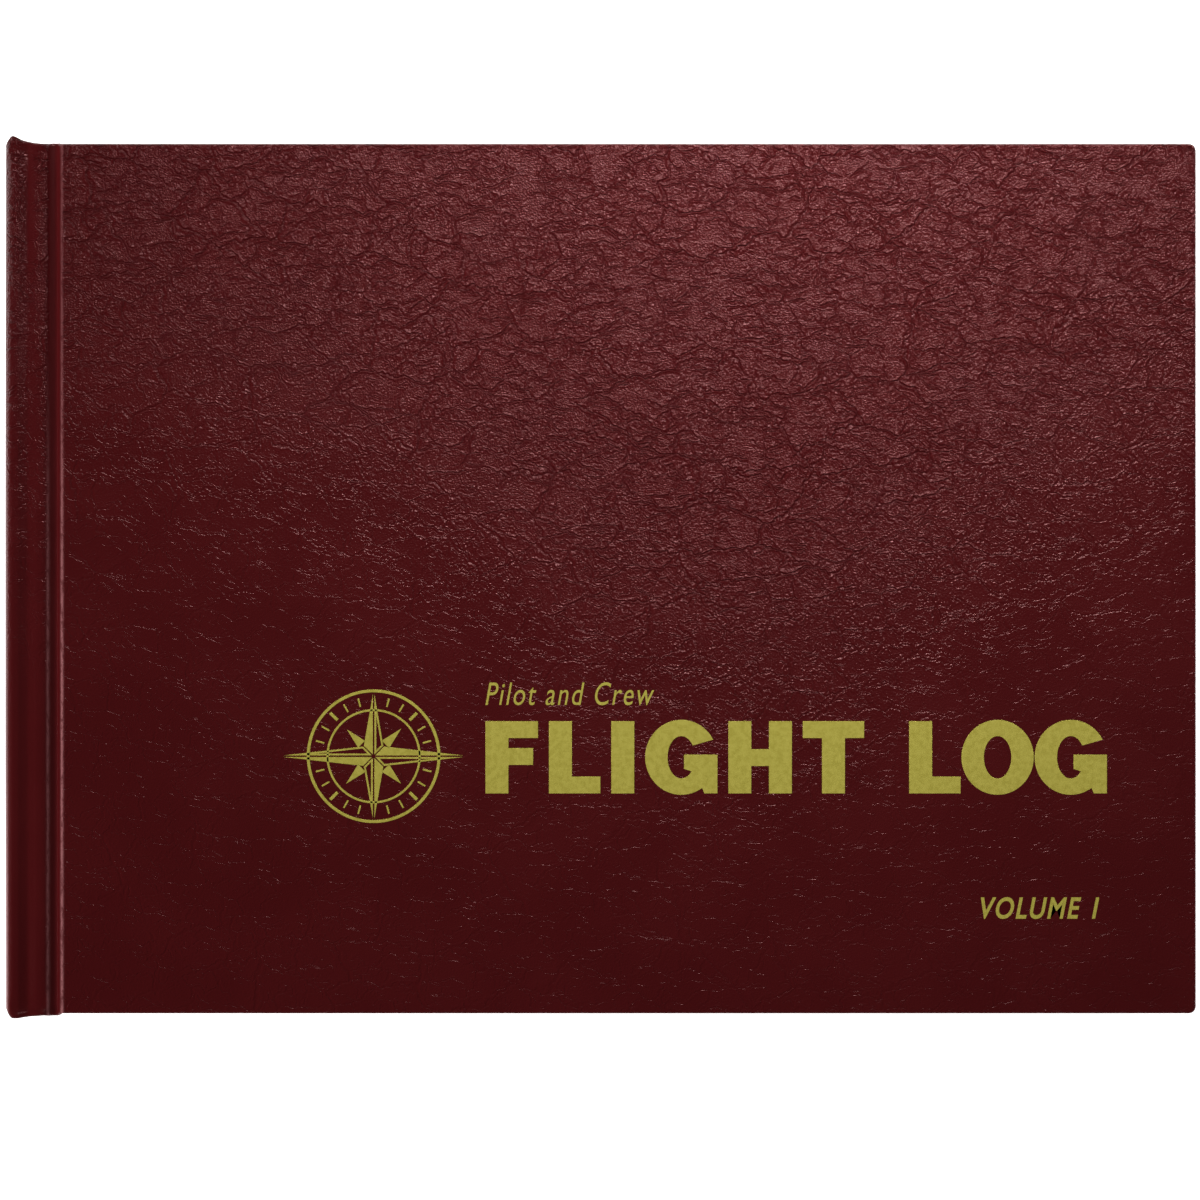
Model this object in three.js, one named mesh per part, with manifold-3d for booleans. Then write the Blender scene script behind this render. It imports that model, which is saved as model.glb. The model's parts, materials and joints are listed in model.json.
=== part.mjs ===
// A case-bound logbook, lying closed on its back cover. Millimetres, +Z up.
// X runs from the spine (-X) to the fore-edge (+X), Y from the tail (-Y) to the head (+Y).
// The origin is the middle of the underside.
import * as THREE from "three";
import { mergeVertices } from "three/addons/utils/BufferGeometryUtils.js";
import Module from "manifold-3d";

const wasm = await Module();
wasm.setup();

// ---- Driving dimensions ----
const WIDTH = 217.6; // spine face to fore-edge of the cover
const BOARD_HEIGHT = 158.8; // head to tail of the cover
const SQUARE = 3.2; // how far the cover stands past the leaves
const SECTIONS = 6; // folded sections of the text block
const SECTION_PITCH = 1.1; // eight leaves and the air above them
const LEAF_GAP = 0.06; // air between neighbouring sections
const PAPER = 0.2; // endpaper
const LEATHER = 0.5; // covering leatherette
const BOARD = 2.2; // cover board
const GLUE = 0.02; // glue line between bonded pieces
const FLYLEAF_AIR = 0.05; // between the text block and the flyleaf
const PASTEDOWN_AIR = 0.1; // between the flyleaf and the pastedown
const CLEAR = 1; // how far a cutting shape runs past what it cuts
const TURN_IN = 15; // how far the covering is folded inside

const HINGE_X = 9.2; // flexing line of the joint, from the spine face
const JOINT_GAP = 0.3; // from that line to the pieces on either side of it
const BOARD_X = 10.3; // joint edge of the covered board, from the spine face
const BLOCK_X = 2.6; // back of the text block, from the spine face
const GROOVE_DEPTH = 1.6; // joint groove, below the cover's face
const SPINE_CORNER = 1.9; // rounding of the spine's long corners
const CAP = 1.1; // how far the spine covering stands past the boards

// ---- Levels that follow, above the middle plane of the book ----
const BLOCK_HALF = (SECTIONS / 2) * SECTION_PITCH;
const FLYLEAF_Z = BLOCK_HALF + FLYLEAF_AIR;
const PASTEDOWN_Z = FLYLEAF_Z + PAPER + PASTEDOWN_AIR;
const BOARD_Z = PASTEDOWN_Z + PAPER;
const HALF = BOARD_Z + BOARD + LEATHER;
const THICKNESS = 2 * HALF;
const LEAF_HALF_Y = BOARD_HEIGHT / 2 - SQUARE;
const FORE_EDGE_X = WIDTH - SQUARE;
const BOUND_END_X = HINGE_X - JOINT_GAP;
const FREE_START_X = HINGE_X + JOINT_GAP;
const HALF_Y = BOARD_HEIGHT / 2;

const COLOURS = {
  leatherette: [0x431013, 0.45],
  greyboard: [0x8c8578, 0.95],
  card: [0xa39a88, 0.95],
  ledger_paper: [0xe9e6d8, 0.9],
  endpaper: [0xd9d6c9, 0.9],
  gauze: [0xd8d0ba, 1.0],
  kraft: [0xb08a5c, 0.95],
  thread: [0xefe9da, 0.9],
  band: [0x7a1c22, 0.8],
};

// ---- Helpers ----
// A box between two corners, with x measured from the spine face and z from the middle plane.
function box(x0, x1, y0, y1, z0, z1) {
  const g = new THREE.BoxGeometry(x1 - x0, y1 - y0, z1 - z0);
  g.translate((x0 + x1) / 2, (y0 + y1) / 2, (z0 + z1) / 2);
  return g;
}

// A box as tall in Y as it is deep on both sides of the middle.
const wide = (x0, x1, halfY, z0, z1) => box(x0, x1, -halfY, halfY, z0, z1);

// A closed outline in X and Z, drawn out along Y.
function prism(outline, y0, y1) {
  const shape = new THREE.Shape(outline.map(([x, z]) => new THREE.Vector2(x, z)));
  const g = new THREE.ExtrudeGeometry(shape, { depth: y1 - y0, bevelEnabled: false });
  g.rotateX(Math.PI / 2);
  g.translate(0, y1, 0);
  return g;
}

function solid(geometry) {
  const bare = geometry.clone();
  bare.deleteAttribute("normal");
  bare.deleteAttribute("uv");
  const merged = mergeVertices(bare, 1e-4);
  const mesh = new wasm.Mesh({
    numProp: 3,
    vertProperties: new Float32Array(merged.attributes.position.array),
    triVerts: new Uint32Array(merged.index.array),
  });
  return new wasm.Manifold(mesh);
}

function geometryOf(manifold) {
  const mesh = manifold.getMesh();
  const points = new Float32Array(mesh.numVert * 3);
  for (let i = 0; i < mesh.numVert; i++) {
    points.set(mesh.vertProperties.subarray(i * mesh.numProp, i * mesh.numProp + 3), i * 3);
  }
  const g = new THREE.BufferGeometry();
  g.setAttribute("position", new THREE.BufferAttribute(points, 3));
  g.setIndex(new THREE.BufferAttribute(new Uint32Array(mesh.triVerts), 1));
  g.computeVertexNormals();
  return g;
}

const join = (...parts) => parts.map(solid).reduce((a, b) => a.add(b));
const cut = (body, ...tools) => tools.map(solid).reduce((a, b) => a.subtract(b), body);

const logbook = new THREE.Group();
logbook.position.set(-WIDTH / 2, 0, HALF);

function add(name, look, shape) {
  const [color, roughness] = COLOURS[look];
  const material = new THREE.MeshStandardMaterial({ color, roughness, metalness: 0 });
  const geometry = shape.isBufferGeometry ? shape : geometryOf(shape);
  const mesh = new THREE.Mesh(geometry, material);
  mesh.name = name;
  logbook.add(mesh);
}

// Turns an upper piece over, for its twin in the lower half of the book.
const below = (shape) => (shape.isBufferGeometry ? solid(shape) : shape).mirror([0, 0, 1]);

function addPair(part, look, shape) {
  add("front_" + part, look, shape);
  add("back_" + part, look, below(shape));
}

// ---- The case: boards, spine inlay and covering ----
function coverLeather() {
  const edge = 0.45; // rounding where the covering turns over the board
  const corner = 1.3; // rounding of the two fore-edge corners in plan
  const tight = 0.5; // rounding of the two corners beside the joint
  const footInset = 0.4; // the foot in the joint stops this far short of the head and tail
  const plan = new THREE.Shape();
  plan.absarc(BOARD_X + tight, -HALF_Y + tight, tight, Math.PI, 1.5 * Math.PI);
  plan.absarc(WIDTH - corner, -HALF_Y + corner, corner, -Math.PI / 2, 0);
  plan.absarc(WIDTH - corner, HALF_Y - corner, corner, 0, Math.PI / 2);
  plan.absarc(BOARD_X + tight, HALF_Y - tight, tight, Math.PI / 2, Math.PI);
  const outer = new THREE.ExtrudeGeometry(plan, {
    depth: BOARD + LEATHER - 2 * edge,
    bevelThickness: edge,
    bevelSize: edge,
    bevelOffset: -edge,
    bevelSegments: 3,
    curveSegments: 5,
  });
  outer.translate(0, 0, BOARD_Z + edge);
  const x0 = BOARD_X + LEATHER;
  const pocket = wide(x0, WIDTH - LEATHER, HALF_Y - LEATHER, BOARD_Z + LEATHER, HALF - LEATHER);
  const opening = wide(x0, WIDTH - TURN_IN, HALF_Y - TURN_IN, BOARD_Z - CLEAR, HALF - CLEAR);
  const top = HALF - GROOVE_DEPTH;
  const jointX = [BOARD_X - CLEAR, x0 + CLEAR];
  const jointOpening = wide(...jointX, HALF_Y - TURN_IN, BOARD_Z - CLEAR, top - LEATHER);
  const foot = wide(FREE_START_X, BOARD_X + LEATHER / 2, HALF_Y - footInset, top - LEATHER, top);
  return cut(solid(outer), pocket, opening, jointOpening).add(solid(foot));
}

const MULL_HALF_Y = 63; // the gauze stops short of the head and tail
const MULL = 0.15;
const MULL_REACH = 36; // how far the gauze runs on to the boards

function coverBoard() {
  const x0 = BOARD_X + LEATHER + GLUE;
  const step = BOARD_Z + LEATHER + GLUE;
  const main = wide(x0, WIDTH - LEATHER - GLUE, HALF_Y - LEATHER - GLUE, step, HALF - LEATHER - GLUE);
  const overlap = 0.1; // by which the two thicknesses run into each other
  const inner = wide(x0, WIDTH - TURN_IN - GLUE, HALF_Y - TURN_IN - GLUE, BOARD_Z + GLUE, step + overlap);
  const rebateTop = BOARD_Z + MULL + 2 * GLUE;
  const rebate = wide(x0 - CLEAR, MULL_REACH + GLUE, MULL_HALF_Y + GLUE, BOARD_Z, rebateTop);
  return cut(join(main, inner), rebate);
}

addPair("cover_leather", "leatherette", coverLeather());
addPair("board", "greyboard", coverBoard());
const FLANGE_Z = BOARD_Z + GLUE;
addPair("mull_flange", "gauze", wide(FREE_START_X, MULL_REACH, MULL_HALF_Y, FLANGE_Z, FLANGE_Z + MULL));
addPair("pastedown", "endpaper", wide(FREE_START_X, FORE_EDGE_X, LEAF_HALF_Y, PASTEDOWN_Z, BOARD_Z));

// The covering's upper line over the shoulder, from the joint groove to the spine corner.
// Each point is its distance from the spine face, and its depth below the cover's face.
const SHOULDER = [
  [BOUND_END_X, GROOVE_DEPTH],
  [8.1, 1.3],
  [7.1, 0.45],
  [6.1, 0.14],
  [4.1, 0.4],
  [SPINE_CORNER, 0],
];
const SHOULDER_STEPS = 14;

function shoulderLine(inset) {
  const points = SHOULDER.map(([x, depth]) => new THREE.Vector2(x, HALF - depth));
  const line = new THREE.SplineCurve(points).getPoints(SHOULDER_STEPS);
  return line.map((p) => [p.x, p.y - inset]);
}

function cornerArc(inset) {
  const r = SPINE_CORNER - inset;
  const steps = 5;
  return Array.from({ length: steps }, (_, i) => {
    const a = Math.PI / 2 + ((i + 1) / steps) * (Math.PI / 2);
    return [SPINE_CORNER + r * Math.cos(a), HALF - SPINE_CORNER + r * Math.sin(a)];
  });
}

// A line together with its mirror image in the lower half of the book.
const bothHalves = (line) => [...line, ...line.map(([x, z]) => [x, -z]).reverse()];

// The space between two C-shaped lines, each given as its upper half.
const betweenLines = (outer, inner) => [...bothHalves(outer), ...bothHalves(inner).reverse()];

const FLAP_X = 1.52; // the folded-in flap lies behind the spine inlay
const FLAP_OVERLAP = 0.1; // by which the flap runs into the covering
const CAP_FOLD = [[1.77, 0.3], [0.9, 0.45], [0.25, 1.3]]; // x, and depth below the cover's face
const CAP_FULL_X = 2.3; // the covering's ends stand out in full up to here
const CAP_END_X = 6.1; // and are level with the boards from here on

function spineLeather() {
  const reach = HALF_Y + CAP;
  const outer = [...shoulderLine(0), ...cornerArc(0)];
  const inner = [...shoulderLine(LEATHER), ...cornerArc(LEATHER)];
  const flapTop = LEATHER - FLAP_OVERLAP;
  const flapOuter = [...shoulderLine(flapTop), [FLAP_X, HALF - flapTop]];
  const flapInner = [...shoulderLine(2 * LEATHER), [FLAP_X + LEATHER, HALF - 2 * LEATHER]];
  const capFold = bothHalves(CAP_FOLD.map(([x, depth]) => [x, HALF - depth]));
  const body = [prism(betweenLines(outer, inner), -reach, reach)];
  const waste = []; // the covering's ends sink from the spine corners towards the boards
  for (const side of [-1, 1]) {
    const span = (a, b) => [side * a, side * b].sort((p, q) => p - q);
    body.push(prism(betweenLines(flapOuter, flapInner), ...span(HALF_Y - TURN_IN, reach)));
    body.push(prism(capFold, ...span(HALF_Y - CLEAR, reach)));
    const slant = [[CAP_FULL_X, reach], [CAP_END_X, HALF_Y], [BOUND_END_X + CLEAR, HALF_Y]];
    const edge = [[CAP_FULL_X, reach + CLEAR], ...slant, [BOUND_END_X + CLEAR, reach + CLEAR]];
    const plan = new THREE.Shape(edge.map(([x, y]) => new THREE.Vector2(x, side * y)));
    const wedge = new THREE.ExtrudeGeometry(plan, { depth: THICKNESS + 2 * CLEAR, bevelEnabled: false });
    wedge.translate(0, 0, -HALF - CLEAR);
    waste.push(wedge);
  }
  return cut(join(...body), ...waste);
}

add("spine_leather", "leatherette", spineLeather());

const INLAY_HALF_Z = HALF - 1.8; // the inlay stops short of the spine's rounded corners
const INLAY_HALF_Y = HALF_Y - 1.2;
const INLAY_X = [LEATHER + GLUE, FLAP_X - GLUE];
add("spine_inlay", "card", wide(...INLAY_X, INLAY_HALF_Y, -INLAY_HALF_Z, INLAY_HALF_Z));

// ---- Spine linings ----
const LINING_X = 2.1;
const LINING = 0.2;
const LINING_HALF_Y = LEAF_HALF_Y - 1;
const MULL_X = LINING_X + LINING + GLUE;
add("spine_lining", "kraft", wide(LINING_X, LINING_X + LINING, LINING_HALF_Y, -BOARD_Z, BOARD_Z));

function spineMull() {
  const top = BOARD_Z + GLUE + MULL;
  const back = wide(MULL_X, MULL_X + MULL, MULL_HALF_Y, -top, top);
  const upper = wide(MULL_X, BOUND_END_X, MULL_HALF_Y, top - MULL, top);
  const lower = wide(MULL_X, BOUND_END_X, MULL_HALF_Y, -top, MULL - top);
  return join(back, upper, lower);
}
add("spine_mull", "gauze", spineMull());

// ---- Head and tail bands: a rolled cord with a cloth tail glued to the spine ----
function band(side) {
  const r = 0.8;
  const bandZ = BOARD_Z - 0.1;
  const foot = LEAF_HALF_Y + 0.05; // just clear of the leaves' ends
  const y = side * (foot + r);
  const cord = new THREE.CylinderGeometry(r, r, 2 * bandZ, 16);
  cord.rotateX(Math.PI / 2);
  cord.translate(BLOCK_X + r, y, 0);
  const between = (a, b) => [a, b].sort((p, q) => p - q);
  const tail = box(MULL_X, MULL_X + MULL, ...between(side * (MULL_HALF_Y + 1), y), -bandZ, bandZ);
  const bridge = box(MULL_X, BLOCK_X + r, ...between(side * foot, y), -bandZ, bandZ);
  return join(cord, tail, bridge);
}
add("headband", "band", band(1));
add("tailband", "band", band(-1));

// ---- Endpapers: the bound fold stays at the spine, and the flyleaf turns ----
function endpaperFold() {
  const fold = wide(BLOCK_X, BOUND_END_X, LEAF_HALF_Y, FLYLEAF_Z, BOARD_Z);
  const insideX = [BLOCK_X + PAPER, BOUND_END_X + CLEAR];
  const inside = wide(...insideX, LEAF_HALF_Y + CLEAR, FLYLEAF_Z + PAPER, PASTEDOWN_Z);
  return cut(solid(fold), inside);
}
addPair("endpaper_fold", "endpaper", endpaperFold());
const FLYLEAF_TOP = FLYLEAF_Z + PAPER;
addPair("flyleaf", "endpaper", wide(FREE_START_X, FORE_EDGE_X, LEAF_HALF_Y, FLYLEAF_Z, FLYLEAF_TOP));

// ---- Text block: sewn sections, numbered from the front ----
const SECTION = SECTION_PITCH - LEAF_GAP;
const THREAD_R = 0.22;
const THREAD_SIDES = 8;
const THREAD_ROOM = 0.3; // half the width of the slot that the thread lies in
const THREAD_IN_X = 4.2; // the thread's run inside the fold
const THREAD_OUT_X = 3.0; // its run outside the fold, in the sawn kerf
const STATIONS = [66, 46, 34, 12]; // distances from the middle at which the thread passes through

// Stitches from the tail to the head: inside between the first two stations, then outside, and so on.
const STITCH_Y = [...STATIONS.map((y) => -y), ...STATIONS.slice().reverse()];

function stitches(tube, halfWidth) {
  const runs = [];
  STITCH_Y.slice(1).forEach((y, i) => {
    const x = i % 2 ? THREAD_OUT_X : THREAD_IN_X;
    runs.push(tube(x, x, STITCH_Y[i] - halfWidth, y + halfWidth));
  });
  STITCH_Y.forEach((y) => runs.push(tube(THREAD_OUT_X, THREAD_IN_X, y - halfWidth, y + halfWidth)));
  return runs;
}

function threadTube(x0, x1, y0, y1) {
  const along = x0 === x1 ? y1 - y0 : x1 - x0 + 2 * THREAD_R;
  const g = new THREE.CylinderGeometry(THREAD_R, THREAD_R, along, THREAD_SIDES);
  g.rotateY(Math.PI / THREAD_SIDES);
  if (x0 !== x1) g.rotateZ(Math.PI / 2);
  g.translate((x0 + x1) / 2, (y0 + y1) / 2, 0);
  return g;
}

function threadSlot(x0, x1, y0, y1) {
  const left = x0 === THREAD_IN_X ? x0 - THREAD_ROOM : BLOCK_X - CLEAR;
  return box(left, x1 + THREAD_ROOM, y0, y1, -THREAD_ROOM, THREAD_ROOM);
}

// The folded back of a section, round at the fold, with a slot for its thread.
function sectionFold() {
  const r = SECTION / 2;
  const steps = 8;
  const arc = Array.from({ length: steps + 1 }, (_, i) => {
    const a = Math.PI / 2 + (i / steps) * Math.PI;
    return [BLOCK_X + r + r * Math.cos(a), r * Math.sin(a)];
  });
  const fold = prism([[BOUND_END_X, -r], [BOUND_END_X, r], ...arc], -LEAF_HALF_Y, LEAF_HALF_Y);
  return cut(solid(fold), ...stitches(threadSlot, THREAD_ROOM));
}

const fold = sectionFold();
const thread = join(...stitches(threadTube, THREAD_R));
for (let n = 1; n <= SECTIONS; n++) {
  const middle = (SECTIONS / 2 - n + 0.5) * SECTION_PITCH;
  const name = "section_" + n;
  add(name + "_fold", "ledger_paper", fold.translate([0, 0, middle]));
  add(name + "_thread", "thread", thread.translate([0, 0, middle]));
  const z = [middle - SECTION / 2, middle + SECTION / 2];
  add(name + "_leaves", "ledger_paper", wide(FREE_START_X, FORE_EDGE_X, LEAF_HALF_Y, ...z));
}

export default logbook;
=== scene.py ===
import contextlib
import json
import math

import bmesh
import bpy
import numpy as np
from mathutils import Matrix, Vector


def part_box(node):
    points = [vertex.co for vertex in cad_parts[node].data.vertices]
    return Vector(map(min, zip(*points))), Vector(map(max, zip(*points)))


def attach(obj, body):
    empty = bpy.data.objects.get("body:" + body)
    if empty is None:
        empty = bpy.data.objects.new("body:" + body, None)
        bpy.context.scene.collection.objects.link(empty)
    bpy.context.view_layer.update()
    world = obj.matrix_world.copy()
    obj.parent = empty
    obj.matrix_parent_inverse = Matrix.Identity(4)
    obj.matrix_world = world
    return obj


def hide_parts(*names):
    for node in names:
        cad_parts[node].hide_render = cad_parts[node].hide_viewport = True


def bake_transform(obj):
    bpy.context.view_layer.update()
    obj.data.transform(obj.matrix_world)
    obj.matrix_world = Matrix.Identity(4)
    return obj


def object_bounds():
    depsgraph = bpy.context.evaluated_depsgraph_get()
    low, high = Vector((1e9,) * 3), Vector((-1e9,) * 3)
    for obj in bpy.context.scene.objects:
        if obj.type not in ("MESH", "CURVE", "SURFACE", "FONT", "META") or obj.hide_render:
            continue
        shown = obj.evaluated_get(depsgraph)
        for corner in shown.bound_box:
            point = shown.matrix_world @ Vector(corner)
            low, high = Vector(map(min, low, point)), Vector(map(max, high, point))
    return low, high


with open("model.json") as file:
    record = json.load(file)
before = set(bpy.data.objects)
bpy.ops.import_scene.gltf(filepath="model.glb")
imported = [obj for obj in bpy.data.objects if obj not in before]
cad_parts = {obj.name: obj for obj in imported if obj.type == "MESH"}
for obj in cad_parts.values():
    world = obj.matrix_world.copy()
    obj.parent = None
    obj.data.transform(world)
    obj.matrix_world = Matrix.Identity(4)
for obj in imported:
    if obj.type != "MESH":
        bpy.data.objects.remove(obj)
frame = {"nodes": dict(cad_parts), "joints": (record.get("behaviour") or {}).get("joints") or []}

cad_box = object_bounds()
random = np.random.default_rng(7)

# ---------------------------------------------------------------- measures, in millimetres
# x runs from the spine's face to the fore-edge, y from tail to head, z up from the middle plane.
MM = 0.001
spine_low, spine_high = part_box("spine_leather")
cover_low, cover_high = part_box("front_cover_leather")
leaves_low, leaves_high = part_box("section_1_leaves")
SPINE_X = spine_low.x / MM
MIDDLE_Z = (spine_high.z + spine_low.z) / 2 / MM
WIDTH = (cover_high.x - spine_low.x) / MM
HALF_Y = cover_high.y / MM
HALF_Z = spine_high.z / MM - MIDDLE_Z
INSIDE_Z = cover_low.z / MM - MIDDLE_Z
LEAF_HALF_Y = leaves_high.y / MM
LEAF_END = leaves_high.x / MM - SPINE_X
JOINTS = {joint["name"]: joint for joint in frame["joints"]}
HINGE_X = JOINTS["front_cover_hinge"]["pos_m"][0] / MM - SPINE_X

LEATHER = 0.4
EDGE = 0.45  # rounding where the covering turns over an edge
CORNER = 0.85  # rounding of the flat face's fore-edge corners
CORNER_X, CORNER_Y = WIDTH - EDGE - CORNER, HALF_Y - EDGE - CORNER  # where that rounding starts
FOLD_CORNER = 0.4  # rounding of the same corners inside the fold
TURN_IN = 15.0
SPINE_CORNER = 1.9
BEND = (HINGE_X - 0.45, HINGE_X + 0.55)  # the stretch of each sheet that flexes


def row_point(x, y, z):
    """A point of the row frame, in metres, from millimetres measured as above."""
    return Vector(((x + SPINE_X) * MM, y * MM, (z + MIDDLE_Z) * MM))


def smooth_step(low, high, value):
    t = np.clip((np.asarray(value, float) - low) / (high - low), 0, 1)
    return t * t * (3 - 2 * t)


def smooth_line(points, step):
    """A Catmull-Rom line through the points, with a point about every step."""
    p = np.array(points, float)
    p = np.vstack([2 * p[0] - p[1], p, 2 * p[-1] - p[-2]])
    line = []
    for a, b, c, d in zip(p, p[1:], p[2:], p[3:]):
        count = max(1, round(float(np.linalg.norm(c - b)) / step))
        for t in np.arange(count) / count:
            line.append(0.5 * (2 * b + (c - a) * t + (2 * a - 5 * b + 4 * c - d) * t**2
                               + (3 * b - a - 3 * c + d) * t**3))
    return np.array(line + [p[-2]])


def add_object(name, data):
    """A new object in the scene."""
    made = bpy.data.objects.new(name, data)
    bpy.context.scene.collection.objects.link(made)
    return made


@contextlib.contextmanager
def editing(mesh):
    """The mesh as an editable shape, written back at the end."""
    shape = bmesh.new()
    shape.from_mesh(mesh)
    yield shape
    shape.to_mesh(mesh)
    shape.free()


def keep_places(mesh, places):
    """Stores each point's place on the flat, uncut material, in millimetres, for the grain."""
    kept = mesh.attributes.new("sheet_mm", "FLOAT_VECTOR", "POINT")
    kept.data.foreach_set("vector", np.asarray(places, np.float32).ravel())


def make_piece(name, points, faces, sheet, material, smooth=True):
    """A piece from millimetre points and their places on the flat material."""
    mesh = bpy.data.meshes.new(name)
    mesh.from_pydata([row_point(*p) for p in points], [], [tuple(int(i) for i in f) for f in faces])
    mesh.update()
    if smooth:
        mesh.polygons.foreach_set("use_smooth", [True] * len(mesh.polygons))
    keep_places(mesh, sheet)
    piece = add_object(name, mesh)
    mesh.materials.append(material)
    return piece


def add_mark(piece, name, values):
    """A number at each point that the material reads."""
    made = piece.data.attributes.new(name, "FLOAT", "POINT")
    made.data.foreach_set("value", np.asarray(values, np.float32))


# ---------------------------------------------------------------- node helpers
class Shader:
    """Adds nodes to a material's or a group's tree."""

    def __init__(self, tree):
        self.tree = tree

    def node(self, kind, values=None, **settings):
        made = self.tree.nodes.new(kind)
        for key, value in settings.items():
            setattr(made, key, value)
        for key, value in (values or {}).items():
            self.feed(made.inputs[key], value)
        return made

    def feed(self, socket, value):
        if isinstance(value, bpy.types.NodeSocket):
            self.tree.links.new(value, socket)
        else:
            socket.default_value = value

    def math(self, operation, a, b=0.0):
        return self.node("ShaderNodeMath", {0: a, 1: b}, operation=operation).outputs[0]

    def vector(self, operation, a, b):
        return self.node("ShaderNodeVectorMath", {0: a, 1: b}, operation=operation).outputs[0]

    def ramp(self, value, low, high, to_low=0.0, to_high=1.0):
        """Runs smoothly from to_low to to_high as the value goes from low to high."""
        made = self.node("ShaderNodeMapRange", {0: value, 1: low, 2: high, 3: to_low, 4: to_high},
                         interpolation_type="SMOOTHSTEP")
        return made.outputs[0]

    def noise(self, vector, scale, detail=2.0, roughness=0.5, dimensions="2D"):
        made = self.node("ShaderNodeTexNoise", {"Vector": vector, "Scale": scale, "Detail": detail,
                                                "Roughness": roughness}, noise_dimensions=dimensions)
        return made.outputs["Fac"]

    def mix(self, factor, a, b):
        made = self.node("ShaderNodeMix", data_type="RGBA")
        for socket, value in ((made.inputs[0], factor), (made.inputs[6], a), (made.inputs[7], b)):
            self.feed(socket, value)
        return made.outputs[2]

    def bump(self, height, depth):
        """The normal of a surface whose height of 1 stands for the depth in millimetres."""
        made = self.node("ShaderNodeBump", {"Strength": 1.0, "Distance": depth * MM, "Height": height})
        return made.outputs["Normal"]

    def axes(self, vector):
        """The vector's x, y and z."""
        return self.node("ShaderNodeSeparateXYZ", {0: vector}).outputs


def node_group(name, inputs, outputs):
    """An empty shader group. Returns it with its inner Shader, its inputs and a way to set its outputs."""
    group = bpy.data.node_groups.new(name, "ShaderNodeTree")
    for label, kind in inputs:
        group.interface.new_socket(label, in_out="INPUT", socket_type=kind)
    for label in outputs:
        group.interface.new_socket(label, in_out="OUTPUT", socket_type="NodeSocketFloat")
    inner = Shader(group)
    entry, leave = inner.node("NodeGroupInput"), inner.node("NodeGroupOutput")
    return group, inner, entry.outputs, lambda label, value: inner.feed(leave.inputs[label], value)


FLOAT, VECTOR = "NodeSocketFloat", "NodeSocketVector"


# Each net of creases: the size of its cells, half the width of a crease, and its depth.
CREASE_NETS = ((8.0, 0.32, 1.0), (3.6, 0.25, 0.85), (1.8, 0.19, 0.6))
CREASE_DEPTH = 1.5
LIP_HEIGHT = 0.9  # how far the grain stands up beside a crease
LIP_REACH = 2.4  # in half widths


def grain_group():
    """Leatherette grain: nets of creases, large to small, over a fine pebble."""
    group, s, given, give = node_group("Creased grain", [("Sheet", VECTOR), ("Density", FLOAT)],
                                       ["Height", "Crease", "Mottle"])
    sheet = given["Sheet"]
    drift = s.node("ShaderNodeTexNoise", {"Vector": sheet, "Scale": 0.19, "Detail": 3.0, "Roughness": 0.6},
                   noise_dimensions="2D").outputs["Color"]
    bent = s.vector("ADD", sheet, s.vector("MULTIPLY", s.vector("SUBTRACT", drift, (0.5, 0.5, 0.5)),
                                           (4.6, 4.6, 0.0)))
    slope = s.node("ShaderNodeVectorRotate", {"Vector": bent, "Angle": math.radians(8)},
                   rotation_type="Z_AXIS").outputs[0]
    slope = s.vector("MULTIPLY", slope, (0.5, 1.0, 1.0))  # the creases run mostly along the cover
    mottle = s.noise(sheet, 0.05, 2.0, 0.5)
    patches = (s.ramp(mottle, 0.38, 0.50), s.ramp(s.axes(drift)[2], 0.38, 0.50),
               s.ramp(s.noise(sheet, 0.23, 1.0), 0.42, 0.54))
    crease, lip = None, None
    for patch, (cell, half_width, depth) in zip(patches, CREASE_NETS):
        edge = s.node("ShaderNodeTexVoronoi", {"Vector": slope, "Scale": 1 / cell},
                      feature="DISTANCE_TO_EDGE", voronoi_dimensions="2D").outputs["Distance"]
        near, far = half_width / cell, LIP_REACH * half_width / cell
        patch = s.math("MULTIPLY", patch, depth)
        line = s.math("MULTIPLY", s.ramp(edge, 0.0, near, 1.0, 0.0), patch)
        wide = s.math("MULTIPLY", s.ramp(edge, near, far, 1.0, 0.0), patch)
        crease = line if crease is None else s.math("MAXIMUM", crease, line)
        lip = wide if lip is None else s.math("MAXIMUM", lip, wide)
    folds = s.math("SUBTRACT", s.math("MULTIPLY", lip, LIP_HEIGHT), s.math("MULTIPLY", crease, CREASE_DEPTH))
    pebble = s.math("MULTIPLY", s.noise(sheet, 2.8, 1.0, 0.6), 1.3)
    give("Height", s.math("ADD", pebble, s.math("MULTIPLY", folds, given["Density"])))
    give("Crease", s.math("MULTIPLY", crease, crease))
    give("Mottle", mottle)
    return group


def weave_group():
    """Over-and-under weave of round threads."""
    group, s, given, give = node_group("Plain weave", [("Place", VECTOR), ("Pitch", FLOAT)], ["Height"])
    x, y, _ = s.axes(given["Place"])
    turns = [s.math("MULTIPLY", s.math("DIVIDE", v, given["Pitch"]), math.pi) for v in (x, y)]
    waves = [s.math("ABSOLUTE", s.math("SINE", v)) for v in turns]
    cross = s.math("MULTIPLY", s.math("SINE", turns[0]), s.math("SINE", turns[1]))
    give("Height", s.math("ADD", s.math("MAXIMUM", *waves), s.math("MULTIPLY", cross, 0.35)))
    return group


def fibre_group():
    """Paper and board fibre: cloudy tone and a fine tooth."""
    group, s, given, give = node_group("Paper fibre", [("Place", VECTOR), ("Fineness", FLOAT)],
                                       ["Tone", "Height"])
    near = s.node("ShaderNodeVectorMath", {0: given["Place"], "Scale": given["Fineness"]},
                  operation="SCALE").outputs[0]
    give("Tone", s.noise(near, 0.8, 4.0, 0.7, "3D"))
    give("Height", s.noise(near, 4.0, 3.0, 0.65, "3D"))
    return group


GRAIN, WEAVE, FIBRE = grain_group(), weave_group(), fibre_group()


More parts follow.
